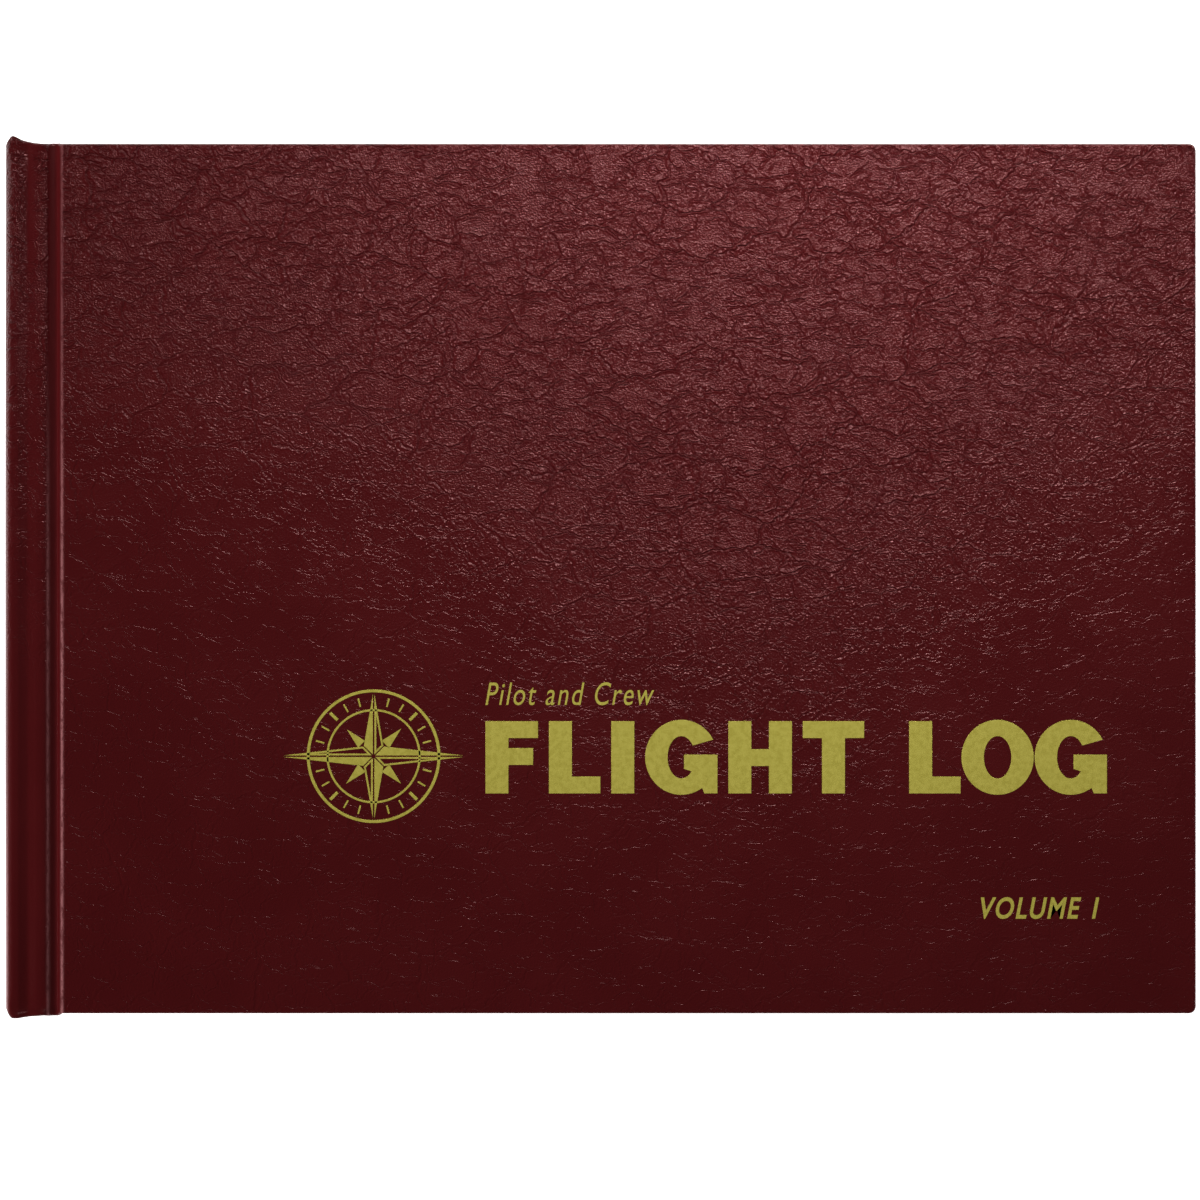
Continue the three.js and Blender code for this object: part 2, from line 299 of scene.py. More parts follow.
def new_material(name):
    """An empty material: its Shader and its surface."""
    material = bpy.data.materials.new(name)
    material.use_nodes = True
    surface = material.node_tree.nodes["Principled BSDF"]
    return material, Shader(material.node_tree), surface


def use_group(s, group, **inputs):
    """Places a group with its own values and gives its outputs."""
    made = s.node("ShaderNodeGroup", node_tree=group)
    for label, value in inputs.items():
        s.feed(made.inputs[label], value)
    return made.outputs


def sheet_place(s):
    """Millimetres on the flat material, for the pieces made here."""
    return s.node("ShaderNodeAttribute", attribute_name="sheet_mm").outputs["Vector"]


def solid_place(s):
    """Millimetres in the piece's own frame, for the pieces that come from the frame."""
    place = s.node("ShaderNodeTexCoord").outputs["Object"]
    return s.vector("MULTIPLY", place, (1 / MM, 1 / MM, 1 / MM))


def mark(s, name):
    """A mark that was put on the piece's points."""
    return s.node("ShaderNodeAttribute", attribute_name=name).outputs["Fac"]


MAROON_DARK, MAROON_LIGHT = (0.052, 0.0032, 0.0039, 1), (0.056, 0.0036, 0.0043, 1)
# painted shade, laid into the creases of the grain
CREASE_PAINTED_SHADE = (0.03, 0.001, 0.0015, 1)
# painted light, lighter than the cover, for the joint's groove
JOINT_PAINTED_LIGHT = (0.07, 0.005, 0.006, 1)
# pale rubbing that also paints the edges' highlights
RUBBED_HIGHLIGHT_TONE = (0.30, 0.11, 0.115, 1)
SHEEN_TINT = (1.0, 0.49, 0.49, 1)


def leatherette():
    """Grained, tinted leatherette, smooth where it is pressed, with painted shade in its creases, painted
    light in the joint's groove, and pale rubbing with painted highlights along its edges.
    """
    material, s, surface = new_material("Maroon leatherette")
    sheet = sheet_place(s)
    grain = use_group(s, GRAIN, Sheet=sheet, Density=1.0)
    depth = s.math("MULTIPLY", s.math("SUBTRACT", 1.0, mark(s, "pressed")), mark(s, "grain_depth"))
    height = s.math("MULTIPLY", grain["Height"], depth)
    tone = s.mix(s.ramp(grain["Mottle"], 0.35, 0.65), MAROON_DARK, MAROON_LIGHT)
    crease = s.math("MULTIPLY", grain["Crease"], depth)
    # painted shade: the creases are darkened in the base colour
    tone = s.mix(s.math("MULTIPLY", crease, 0.5), tone, CREASE_PAINTED_SHADE)
    # painted light: the joint's groove is lifted to a lighter tone
    tone = s.mix(s.math("MULTIPLY", mark(s, "joint_painted_light"), 0.6), tone, JOINT_PAINTED_LIGHT)
    scuffs = s.ramp(s.noise(s.vector("MULTIPLY", sheet, (1.6, 0.5, 1.0)), 0.9, 3.0, 0.7), 0.3, 0.6)
    # painted highlights along the edges, broken up like rubbing
    rubbed_highlight = s.math("MULTIPLY", mark(s, "rubbed_highlight"), s.ramp(scuffs, 0.0, 1.0, 0.35, 0.95))
    tone = s.mix(rubbed_highlight, tone, RUBBED_HIGHLIGHT_TONE)
    surface.inputs["Specular IOR Level"].default_value = 0.65
    surface.inputs["Specular Tint"].default_value = SHEEN_TINT
    s.feed(surface.inputs["Base Color"], tone)
    s.feed(surface.inputs["Roughness"], s.ramp(grain["Mottle"], 0.35, 0.65, 0.31, 0.34))
    s.feed(surface.inputs["Normal"], s.bump(height, 0.17))
    return material


def gold_foil():
    """Matt foil, a little uneven, with the leatherette's grain faintly in it."""
    material, s, surface = new_material("Matt gold foil")
    sheet = sheet_place(s)
    grain = use_group(s, GRAIN, Sheet=sheet, Density=0.5)
    uneven = s.ramp(s.noise(sheet, 0.9, 5.0, 0.7), 0.35, 0.7)
    tone = s.mix(uneven, (0.40, 0.35, 0.062, 1), (0.36, 0.31, 0.046, 1))
    surface.inputs["Specular IOR Level"].default_value = 0.3
    s.feed(surface.inputs["Base Color"], tone)
    s.feed(surface.inputs["Metallic"], s.ramp(uneven, 0.0, 1.0, 0.05, 0.15))
    s.feed(surface.inputs["Roughness"], s.ramp(uneven, 0.0, 1.0, 0.5, 0.6))
    s.feed(surface.inputs["Normal"], s.bump(grain["Height"], 0.012))
    return material


def paper(name, light, dark, ruled=False, own=True):
    """Uncoated paper; a ruled sheet has the printed lines and tinted bands of a record form."""
    material, s, surface = new_material(name)
    place = sheet_place(s) if own else solid_place(s)
    fibre = use_group(s, FIBRE, Place=place, Fineness=1.0)
    tone = s.mix(s.ramp(fibre["Tone"], 0.3, 0.7), dark, light)
    if ruled:
        tone = ruled_form(s, place, tone)
    s.feed(surface.inputs["Base Color"], tone)
    s.feed(surface.inputs["Roughness"], s.ramp(fibre["Tone"], 0.3, 0.7, 0.85, 0.95))
    surface.inputs["Specular IOR Level"].default_value = 0.2
    s.feed(surface.inputs["Normal"], s.bump(fibre["Height"], 0.012))
    return material


# The printed form, in millimetres on the flat sheet.
ROW_PITCH, ROW_LINE = 6.6, 0.231
FORM_LEFT, FORM_RIGHT = 22.0, 206.0
FORM_LOW, FORM_HEAD, HEADING = -68.0, 58.0, 9.0
COLUMNS, COLUMN_LINE = (22, 46, 78, 110, 126, 142, 158, 174, 190, 206), 0.24
HEADING_LINE = 0.6
BAND_TINT, PRINT_GREEN = (0.55, 0.68, 0.52, 1), (0.06, 0.20, 0.11, 1)


def ruled_form(s, place, tone):
    """Rows in two tints, columns and a heading, with no words."""
    x, y, _ = s.axes(place)
    inside = s.math("GREATER_THAN", x, FORM_LEFT)
    inside = s.math("MULTIPLY", inside, s.math("LESS_THAN", x, FORM_RIGHT))
    inside = s.math("MULTIPLY", inside, s.math("GREATER_THAN", y, FORM_LOW))
    inside = s.math("MULTIPLY", inside, s.math("LESS_THAN", y, FORM_HEAD + HEADING))
    turn = s.math("DIVIDE", s.math("SUBTRACT", y, FORM_LOW), ROW_PITCH)
    band = s.math("GREATER_THAN", s.math("FRACT", s.math("DIVIDE", turn, 2.0)), 0.5)
    tone = s.mix(s.math("MULTIPLY", s.math("MULTIPLY", band, inside), 0.5), tone, BAND_TINT)
    line = s.math("LESS_THAN", s.math("FRACT", turn), ROW_LINE / ROW_PITCH)
    strokes = [(x, float(column), COLUMN_LINE) for column in COLUMNS] + [(y, FORM_HEAD, HEADING_LINE)]
    for place, middle, width in strokes:
        away = s.math("ABSOLUTE", s.math("SUBTRACT", place, middle))
        line = s.math("MAXIMUM", line, s.math("LESS_THAN", away, width / 2))
    line = s.math("MULTIPLY", line, inside)
    return s.mix(s.math("MULTIPLY", line, 0.75), tone, PRINT_GREEN)


def board(name, light, dark):
    """Grey millboard or card, rough and fibrous."""
    material, s, surface = new_material(name)
    fibre = use_group(s, FIBRE, Place=solid_place(s), Fineness=0.6)
    s.feed(surface.inputs["Base Color"], s.mix(s.ramp(fibre["Tone"], 0.35, 0.65), dark, light))
    s.feed(surface.inputs["Roughness"], s.ramp(fibre["Tone"], 0.3, 0.7, 0.9, 1.0))
    s.feed(surface.inputs["Normal"], s.bump(fibre["Height"], 0.06))
    return material


def cloth(name, light, dark, pitch):
    """Woven cotton: gauze and thread."""
    material, s, surface = new_material(name)
    weave = use_group(s, WEAVE, Place=solid_place(s), Pitch=pitch)
    s.feed(surface.inputs["Base Color"], s.mix(s.ramp(weave["Height"], 0.4, 1.2), dark, light))
    s.feed(surface.inputs["Roughness"], s.ramp(weave["Height"], 0.4, 1.2, 0.95, 0.8))
    s.feed(surface.inputs["Normal"], s.bump(weave["Height"], 0.05))
    return material


RIB = 0.75  # width of one colour of the bands


def banded_silk():
    """The head and tail bands: two colours in turn, wound over a cord."""
    material, s, surface = new_material("Banded silk")
    _, _, z = s.axes(sheet_place(s))
    turn = s.math("FRACT", s.math("DIVIDE", z, 2 * RIB))
    tone = s.mix(s.math("GREATER_THAN", turn, 0.5), (0.30, 0.012, 0.02, 1), (0.78, 0.74, 0.64, 1))
    threads = s.math("SINE", s.math("MULTIPLY", z, 40.0))
    tone = s.mix(s.ramp(threads, -1.0, 1.0, 0.0, 0.35), tone, (0.1, 0.03, 0.03, 1))
    s.feed(surface.inputs["Base Color"], tone)
    s.feed(surface.inputs["Roughness"], s.ramp(threads, -1.0, 1.0, 0.5, 0.65))
    s.feed(surface.inputs["Normal"], s.bump(threads, 0.03))
    return material


LEATHERETTE = leatherette()
FOIL = gold_foil()
LEDGER = paper("Ruled ledger paper", (0.70, 0.69, 0.62, 1), (0.62, 0.61, 0.54, 1), ruled=True)
ENDPAPER = paper("Cream endpaper", (0.66, 0.64, 0.56, 1), (0.58, 0.56, 0.48, 1))
KRAFT = paper("Kraft lining", (0.47, 0.30, 0.15, 1), (0.36, 0.22, 0.10, 1), own=False)
GREYBOARD = board("Greyboard", (0.32, 0.29, 0.25, 1), (0.20, 0.18, 0.15, 1))
CARD = board("Spine card", (0.50, 0.45, 0.36, 1), (0.38, 0.33, 0.25, 1))
GAUZE = cloth("Mull gauze", (0.78, 0.74, 0.64, 1), (0.35, 0.32, 0.26, 1), 0.55)
THREAD = cloth("Linen thread", (0.85, 0.82, 0.74, 1), (0.50, 0.47, 0.40, 1), 0.14)
SILK = banded_silk()


# ---------------------------------------------------------------- the covering
# How far the covering drops below the cover's face over the spine's shoulder and into the joint.
SHOULDER = ((SPINE_CORNER, 0.0), (2.6, 0.03), (3.4, 0.22), (4.3, 0.36), (5.2, 0.22), (6.0, 0.05),
            (6.8, 0.0), (7.4, 0.06), (7.9, 0.24), (8.25, 0.50), (8.6, 0.74), (9.1, 0.9), (9.6, 0.84),
            (9.9, 0.64), (10.1, 0.42), (10.3, 0.2), (10.55, 0.06), (11.0, 0.0), (12.0, 0.0))
JOINT_START = 8.4
BOARD_START = 12.0
# How thick the covering is rolled at its ends, over the spine and its shoulder, by place along x.
TURN_DEPTHS = ((0.0, 2.0), (1.0, 1.6), (SPINE_CORNER, 1.05), (JOINT_START, 1.0))
# How far the covering's ends stand past the boards, over the spine and the joint.
HEAD_CAP = ((0.0, 0.1), (0.3, 0.55), (0.65, 0.95), (1.0, 1.3), (1.4, 1.47), (2.1, 1.3), (2.5, 1.1),
            (3.2, 0.73), (3.9, 0.53), (4.7, 0.36), (5.4, 0.18), (6.9, 0.0), (8.0, 0.02), (8.8, 0.2),
            (10.0, 0.18), (10.5, 0.0))
TAIL_CAP = ((0.0, -0.55), (0.3, -0.25), (0.65, 0.4), (1.0, 0.73), (1.4, 0.9), (2.5, 0.9), (3.5, 0.73),
            (5.0, 0.55), (6.5, 0.42), (7.3, 0.36), (8.2, 0.5), (9.7, 0.5), (10.2, 0.3), (10.6, 0.0))


def cover_profile():
    """The covering's outer line from the middle of the spine to the fore-edge, and its inward direction."""
    rise = np.linspace(0, HALF_Z - SPINE_CORNER, 7)[:-1]
    line = [(0.0, z) for z in rise]
    turn = [0.0] * len(rise)
    for a in np.linspace(0, math.pi / 2, 11)[:-1]:
        line.append((SPINE_CORNER * (1 - math.cos(a)), HALF_Z - SPINE_CORNER * (1 - math.sin(a))))
        turn.append(a)
    shoulder = smooth_line(SHOULDER, 0.14)
    line += [(x, HALF_Z - drop) for x, drop in shoulder]
    steps = 150
    line += [(BOARD_START + (CORNER_X - BOARD_START) * i / steps, HALF_Z) for i in range(1, steps + 1)]
    line += [(CORNER_X + CORNER * share, HALF_Z) for share in (0.4, 0.75, 1.0)]
    turn += [math.pi / 2] * (len(line) - len(turn))
    return np.array(line), np.array(turn)


def cover_rows():
    """Places along the height, closer together at both ends."""
    flat = HALF_Y - EDGE
    ends = [flat - gap for gap in (0.0, 0.22, 0.51, 0.85, 1.2, 1.7, 2.3, 3.0, 4.0, 5.2)]
    middle = np.linspace(-(flat - 6.4), flat - 6.4, 118)
    return np.array([-e for e in ends] + list(middle) + ends[::-1])


def corner_round(x, y):
    """Pulls the flat face's two fore-edge corners in to a quarter circle."""
    u = np.clip((x - CORNER_X) / CORNER, 0, 1)
    v = np.clip((np.abs(y) - CORNER_Y) / CORNER, 0, 1)
    in_corner = (u > 0) & (v > 0)
    moved_x = np.where(in_corner, CORNER_X + CORNER * u * np.sqrt(1 - v * v / 2), x)
    moved_y = np.where(in_corner, CORNER_Y + CORNER * v * np.sqrt(1 - u * u / 2), np.abs(y))
    return moved_x, np.sign(y) * moved_y


def swell(value, middle, reach):
    """1 at the middle, falling away on both sides over about the reach."""
    return np.exp(-(((value - middle) / reach) ** 2))


def end_cap(x, z, side):
    """How far the covering's end stands past the boards: most at the spine's corner."""
    table = np.array(HEAD_CAP if side > 0 else TAIL_CAP)
    reach = np.interp(x, table[:, 0], table[:, 1])
    return reach * np.where(x < 0.01, smooth_step(HALF_Z - 4.5, HALF_Z - SPINE_CORNER, z), 1.0)


def shape_face(x, y, z):
    """Adds the hand-made unevenness of the real covering to the straight form."""
    from_end = HALF_Y - EDGE - np.abs(y)
    near_end = 1 - smooth_step(0, 11, from_end)
    cap = np.where(y > 0, end_cap(x, z, 1), end_cap(x, z, -1)) * near_end
    # At each end of the spine the covering has a raised lip, a dip behind it, and a sag in the shoulder.
    over_spine = smooth_step(0.6, 1.9, x) * (1 - smooth_step(7.2, 8.4, x))
    lip = 0.30 * swell(from_end, 0.0, 0.55) - 0.26 * swell(from_end, 1.9, 1.3)
    sag = 0.10 * swell(from_end, 9, 9) * swell(x, 4.3, 1.0)
    lift = over_spine * (lip - sag) * np.where(z > HALF_Z - 2.5, 1, 0)
    bow = 0.08 * smooth_step(0.35, 1.0, np.abs(y) / HALF_Y) * (1 - smooth_step(0, 3.0, x))
    return x + bow, y + np.sign(y) * cap, z + lift


def outer_face():
    """The face of half a covering, a grid of columns: its points, flat places, faces, turns and size."""
    line, turn = cover_profile()
    rows = cover_rows()
    length = np.concatenate([[0], np.cumsum(np.hypot(*np.diff(line, axis=0).T))])
    columns, count = len(line), len(rows)
    y = np.tile(rows, columns)
    flat_x, flat_y = corner_round(np.repeat(line[:, 0], count), y)
    points = np.stack(shape_face(flat_x, flat_y, np.repeat(line[:, 1], count)), 1)
    sheet = np.stack([np.repeat(length, count), y, np.zeros_like(y)], 1)
    starts = [i * count + j for i in range(columns - 1) for j in range(count - 1)]
    faces = [(a, a + count, a + count + 1, a + 1) for a in starts]
    return points, sheet, faces, turn, columns, count


def face_border(columns, count):
    """The grid places along the face's edge: the head from the spine, the fore-edge, and back at the tail."""
    border = [(i, count - 1) for i in range(columns)]
    border += [(columns - 1, j) for j in range(count - 2, -1, -1)]
    border += [(i, 0) for i in range(columns - 2, -1, -1)]
    return np.array(border).T


def way_out(base, column, row, columns, count):
    """The outward direction at each border point, and which of them lie in a rounded corner."""
    out = np.zeros((len(base), 2))
    out[:, 1] = np.where(row == count - 1, 1.0, -1.0)
    out[column == columns - 1] = (1.0, 0.0)
    in_corner = (base[:, 0] > CORNER_X + 1e-6) & (np.abs(base[:, 1]) > CORNER_Y + 1e-6)
    spoke = np.stack([base[:, 0] - CORNER_X, base[:, 1] - np.sign(base[:, 1]) * CORNER_Y], 1)
    out[in_corner] = spoke[in_corner] / np.linalg.norm(spoke[in_corner], axis=1)[:, None]
    return out, in_corner


def turn_steps():
    """The steps of the turned edge: how far out, how far down, and if down is from the inner side."""
    quarter = [math.radians(a) for a in (30, 60, 90)]
    over = [(EDGE * math.sin(a), EDGE * (1 - math.cos(a)), False) for a in quarter]
    under = [(EDGE * math.cos(a), EDGE * math.sin(a), True) for a in [0.0] + quarter]
    return over + under + [(-inset, EDGE, True) for inset in (1.5, 5.0, 10.0, TURN_IN)]


def turned_in(base, out, in_corner, inset):
    """The border pulled in under the board by the inset, with its corners kept round."""
    board = base[:, 0] > BOARD_START
    head_side = np.sign(base[:, 1])
    fore_x, end_y = WIDTH - EDGE - FOLD_CORNER - inset, HALF_Y - EDGE - FOLD_CORNER - inset
    on_fore = (np.abs(base[:, 1]) <= CORNER_Y) & (out[:, 0] > 0.5)
    ring = base.copy()
    keep = np.where(board, (fore_x - BOARD_START) / (CORNER_X - BOARD_START), 1.0)
    ring[:, 0] = np.where(board, BOARD_START + (base[:, 0] - BOARD_START) * keep, base[:, 0])
    ring[:, 1] = np.where(on_fore, base[:, 1] * (end_y / CORNER_Y), base[:, 1] - head_side * inset)
    ring[in_corner, 0] = fore_x + FOLD_CORNER * out[in_corner, 0]
    ring[in_corner, 1] = head_side[in_corner] * end_y + FOLD_CORNER * out[in_corner, 1]
    ring[(out[:, 0] > 0.5) & ~in_corner, 0] = WIDTH - EDGE - inset
    return ring


def cover_form():
    """Half of the spine, a joint and a board, turned in at three edges: points, faces and flat places."""
    points, sheet, faces, turn, columns, count = outer_face()
    column, row = face_border(columns, count)
    previous = column * count + row
    base, flat_base = points[previous], sheet[previous][:, :2]
    out, in_corner = way_out(base, column, row, columns, count)
    inward = turn[column]
    depth = np.interp(base[:, 0], *zip(*TURN_DEPTHS))
    depth = np.where(base[:, 0] > JOINT_START, np.maximum(1.0, base[:, 2] - INSIDE_Z), depth)
    run, last = np.zeros(len(base)), base
    for outward, down, from_inside in turn_steps():
        inset = max(0.0, -outward)
        if inset:
            ring = turned_in(base, out, in_corner, inset)
        else:
            ring = base.copy()
            ring[:, :2] += out * outward
        sink = depth - EDGE + down if from_inside else down
        ring[:, 0] += np.cos(inward) * sink
        ring[:, 2] -= np.sin(inward) * sink
        if not inset:
            run = run + np.linalg.norm(ring - last, axis=1)
        flat = np.zeros((len(base), 3))
        flat[:, :2] = flat_base + out * (run + inset)[:, None]
        new = np.arange(len(points), len(points) + len(base))
        points, sheet = np.vstack([points, ring]), np.vstack([sheet, flat])
        faces += [(previous[k], previous[k + 1], new[k + 1], new[k]) for k in range(len(base) - 1)]
        previous, last = new, ring
    return points, faces, sheet


def cover_covering(name, up, material):
    """One half of the covering, as a skin of real thickness; the lower half is the upper one turned over."""
    points, faces, sheet = cover_form()
    if not up:
        points[:, 2] *= -1
        sheet[:, 0] *= -1
        faces = [f[::-1] for f in faces]
    piece = make_piece(name, points, faces, sheet, material)
    put_leather_marks(piece, points)
    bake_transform(piece)
    with editing(piece.data) as shape:
        for edge in shape.edges:
            edge.smooth = not edge.is_boundary
    skin = piece.modifiers.new("Thickness", "SOLIDIFY")
    skin.thickness = LEATHER * MM
    skin.offset = -1
    return piece


def put_leather_marks(piece, points):
    """Where the grain is pressed flat, how deep it is elsewhere, the pale rubbing with painted highlights on
    the edges, and the painted light in the joint's groove.
    """
    x, y, _ = points.T
    groove = smooth_step(7.9, 8.3, x) * (1 - smooth_step(10.25, 10.9, x))
    hollow = swell(x, 4.5, 1.0) * smooth_step(52, 60, np.abs(y))
    low_spine = (1 - smooth_step(7.0, 8.0, x)) * (1 - smooth_step(-30, 5, y)) * 0.75
    add_mark(piece, "pressed", np.clip(np.maximum(np.maximum(groove, hollow * 0.9), low_spine), 0, 1))
    # The grain is deepest towards the head, and from lower down in the middle of the cover.
    middle = 40 - 55 * swell(x, 135, 60)
    add_mark(piece, "grain_depth", 0.24 + 0.76 * smooth_step(middle - 40, middle + 36, y))
    # Pale rubbing and painted highlights along the edge of the board, the spine's ridge and the spine's lower
    # corner.
    towards_tail = 1 - smooth_step(-10, 50, y)
    board_edge_highlight = swell(x, 10.62, 0.26) * (0.35 + 0.65 * towards_tail)
    ridge_edge_highlight = swell(x, 8.0, 0.22) * 0.55 * towards_tail
    spine_edge_highlight = swell(x, 0.25, 0.35) * 0.5 * (1 - smooth_step(-60, -25, y))
    add_mark(piece, "rubbed_highlight", np.maximum(np.maximum(board_edge_highlight, ridge_edge_highlight), spine_edge_highlight))
    # painted light in the joint's groove
    add_mark(piece, "joint_painted_light", smooth_step(8.0, 8.7, x) * (1 - smooth_step(9.9, 10.45, x)))


front_covering = cover_covering("front_leatherette", True, LEATHERETTE)
back_covering = cover_covering("back_leatherette", False, LEATHERETTE)
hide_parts("front_cover_leather", "spine_leather")
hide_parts("back_cover_leather", "spine_leather")


# ---------------------------------------------------------------- paper
SHEET_ROWS = 9  # points across a sheet, from tail to head


def paper_sheet(path, half_y, thickness, leaf):
    """A thin closed slab along a line in x and z: its points, faces and flat places.

    The leaf's number is the flat places' third value, so that the fibre differs between a section's leaves.
    """
    path = np.array(path, float)
    tangent = np.gradient(path, axis=0)
    tangent /= np.linalg.norm(tangent, axis=1)[:, None]
    normal = np.stack([-tangent[:, 1], tangent[:, 0]], 1) * thickness / 2
    n, m = len(path), SHEET_ROWS
    heights = np.linspace(-half_y, half_y, m)
    points, sheet = [], []
    for side in (1, -1):
        line = path + side * normal
        for (x, z), (px, _) in zip(line, path):
            points += [(x, y, z) for y in heights]
            sheet += [(px, y, leaf) for y in heights]

    def at(side, i, j):
        return side * n * m + i * m + j

    faces = []
    for i in range(n - 1):
        for j in range(m - 1):
            faces.append((at(0, i, j), at(0, i + 1, j), at(0, i + 1, j + 1), at(0, i, j + 1)))
            faces.append((at(1, i, j + 1), at(1, i + 1, j + 1), at(1, i + 1, j), at(1, i, j)))
        faces.append((at(0, i, m - 1), at(0, i + 1, m - 1), at(1, i + 1, m - 1), at(1, i, m - 1)))
        faces.append((at(1, i, 0), at(1, i + 1, 0), at(0, i + 1, 0), at(0, i, 0)))
    for j in range(m - 1):
        faces.append((at(0, 0, j + 1), at(1, 0, j + 1), at(1, 0, j), at(0, 0, j)))
        faces.append((at(0, n - 1, j), at(1, n - 1, j), at(1, n - 1, j + 1), at(0, n - 1, j + 1)))
    return np.array(points), [tuple(f[::-1]) for f in faces], np.array(sheet)


def leaf_stations(start, end):
    """Places along a leaf, close together where it flexes."""
    flex = np.linspace(BEND[0], BEND[1], 25)
    before = np.linspace(start, BEND[0], 5)[:-1]
    after = np.linspace(BEND[1], end, 14)[1:]
    return np.concatenate([before, flex, after])


def joined(parts):
    """Several closed forms as one."""
    points, faces, sheet = [], [], []
    for p, f, s in parts:
        base = sum(len(q) for q in points)
        points.append(p)
        sheet.append(s)
        faces += [tuple(i + base for i in face) for face in f]
    return np.vstack(points), faces, np.vstack(sheet)


def fix_sides(piece):
    """Turns every face of a closed piece to point outwards."""
    with editing(piece.data) as shape:
        bmesh.ops.recalc_face_normals(shape, faces=shape.faces)


def bend_with(piece, node_names):
    """Turns a piece of paper's faces outwards, fixes its place and hides the frame's parts that it takes
    over.
    """
    fix_sides(piece)
    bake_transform(piece)
    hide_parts(*node_names)


SECTIONS = range(1, 7)
LEAVES_PER_SECTION = 8
LEAF = 0.105  # thickness of the paper
BACK_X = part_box("section_1_fold")[0].x / MM - SPINE_X


def ledger_section(number):
    """Folded sheets, one inside the next."""
    low, high = (corner.z / MM - MIDDLE_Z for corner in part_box(f"section_{number}_leaves"))
    middle, pitch = (low + high) / 2, (high - low) / LEAVES_PER_SECTION
    fold_x = BACK_X + (high - low) / 2
    parts = []
    for k in range(LEAVES_PER_SECTION // 2):
        away = (k + 0.5) * pitch
        end = LEAF_END - random.uniform(0.0, 0.12)
        out = leaf_stations(fold_x, end)
        upper = [(x, middle + away) for x in out[::-1]]
        back = [(fold_x - away * math.sin(a), middle + away * math.cos(a))
                for a in np.linspace(0, math.pi, 9)[1:-1]]
        lower = [(x, middle - away) for x in out]
        parts.append(paper_sheet(upper + back + lower, LEAF_HALF_Y - random.uniform(0, 0.05), LEAF, k))
    piece = make_piece(f"section_{number}_pages", *joined(parts), LEDGER, smooth=False)
    bend_with(piece,
              [f"section_{number}_leaves", f"section_{number}_fold"])


for number in SECTIONS:
    ledger_section(number)

for half in ("front", "back"):
    for part, body in (("pastedown", half + "_cover"), ("flyleaf", half + "_flyleaf")):
        low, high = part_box(f"{half}_{part}")
        level = (low.z + high.z) / 2 / MM - MIDDLE_Z
        thickness = (high.z - low.z) / MM - 0.02
        stations = leaf_stations(BACK_X + 0.1, LEAF_END)
        made = paper_sheet([(x, level) for x in stations], LEAF_HALF_Y, thickness, 0)
        piece = make_piece(f"{half}_{part}_sheet", *made, ENDPAPER, smooth=False)
        bend_with(piece, [f"{half}_{part}", f"{half}_endpaper_fold"])


# ---------------------------------------------------------------- head and tail bands
BAND_RADIUS = 0.78
BAND_X = BACK_X + 0.8
BAND_Y = LEAF_HALF_Y + 0.85
SKIRT_END = LEAF_HALF_Y - 12  # the glued strip reaches this far along the spine
SKIRT = 0.14  # its thickness
AROUND = 20  # points round the cord


def wound_cord(reach, centre_y):
    """The cord, a little thinner between the turns of silk: points, faces and flat places."""
    levels = np.linspace(-reach, reach, 81)
    points, sheet, faces = [], [], []
    for z in levels:
        radius = BAND_RADIUS * (0.93 + 0.07 * abs(math.sin(math.pi * z / RIB)))
        for a in (2 * math.pi * i / AROUND for i in range(AROUND)):
            points.append((BAND_X + radius * math.cos(a), centre_y + radius * math.sin(a), z))
            sheet.append((0, a, z))
    for k in range(len(levels) - 1):
        for i in range(AROUND):
            a, b = k * AROUND + i, k * AROUND + (i + 1) % AROUND
            faces.append((a, b, b + AROUND, a + AROUND))
    faces.append(tuple(range(AROUND))[::-1])
    faces.append(tuple(range((len(levels) - 1) * AROUND, len(levels) * AROUND)))
    return np.array(points), faces, np.array(sheet)


def silk_band(name, node):
    """A cord wound with silk in two colours, standing on a strip of cloth glued to the spine."""
    low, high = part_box(node)
    side = 1 if high.y > 0 else -1
    reach = high.z / MM - MIDDLE_Z
    skirt_low, skirt_high = sorted((side * SKIRT_END, side * BAND_Y))
    skirt_x = low.x / MM - SPINE_X + 0.08
    path = [(skirt_x, z) for z in np.linspace(-reach, reach, 12)]
    skirt = paper_sheet(path, (skirt_high - skirt_low) / 2, SKIRT, 0)
    skirt[0][:, 1] += (skirt_low + skirt_high) / 2
    skirt[2][:, 2] = skirt[0][:, 2]
    piece = make_piece(name, *joined([wound_cord(reach, side * BAND_Y), skirt]), SILK)
    fix_sides(piece)
    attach(piece, "bound_spine")
    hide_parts(node)


silk_band("silk_headband", "headband")
silk_band("silk_tailband", "tailband")


# ---------------------------------------------------------------- finishes of the pieces kept from the frame
FINISHES = {
    "front_board": GREYBOARD, "back_board": GREYBOARD, "spine_inlay": CARD, "spine_lining": KRAFT,
    "spine_mull": GAUZE, "front_mull_flange": GAUZE, "back_mull_flange": GAUZE,
    **{f"section_{number}_thread": THREAD for number in SECTIONS},
}
for node, finish in FINISHES.items():
    kept = frame["nodes"][node]
    kept.data.materials.clear()
    kept.data.materials.append(finish)


# ---------------------------------------------------------------- gold foil stamping
FOIL_Z = HALF_Z - 0.02
FOIL_DEPTH = 0.03
FOIL_BEVEL = 0.05
WORD_SIZE, WORD_SLANT, WORD_SPACING = 10, 0.25, 1.16  # of the small words, before they are fitted


def arc(cx, cy, rx, ry, start, end, count):
    """Points of part of an ellipse, angles in degrees."""
    return [(cx + rx * math.cos(math.radians(a)), cy + ry * math.sin(math.radians(a)))
            for a in np.linspace(start, end, count)]


def ellipse(cx, cy, rx, ry, count):
    return arc(cx, cy, rx, ry, 0, 360, count + 1)[:-1]


def directions(degrees):
    """Unit steps along an angle and across it."""
    a = math.radians(degrees)
    return np.array((math.cos(a), math.sin(a))), np.array((-math.sin(a), math.cos(a)))


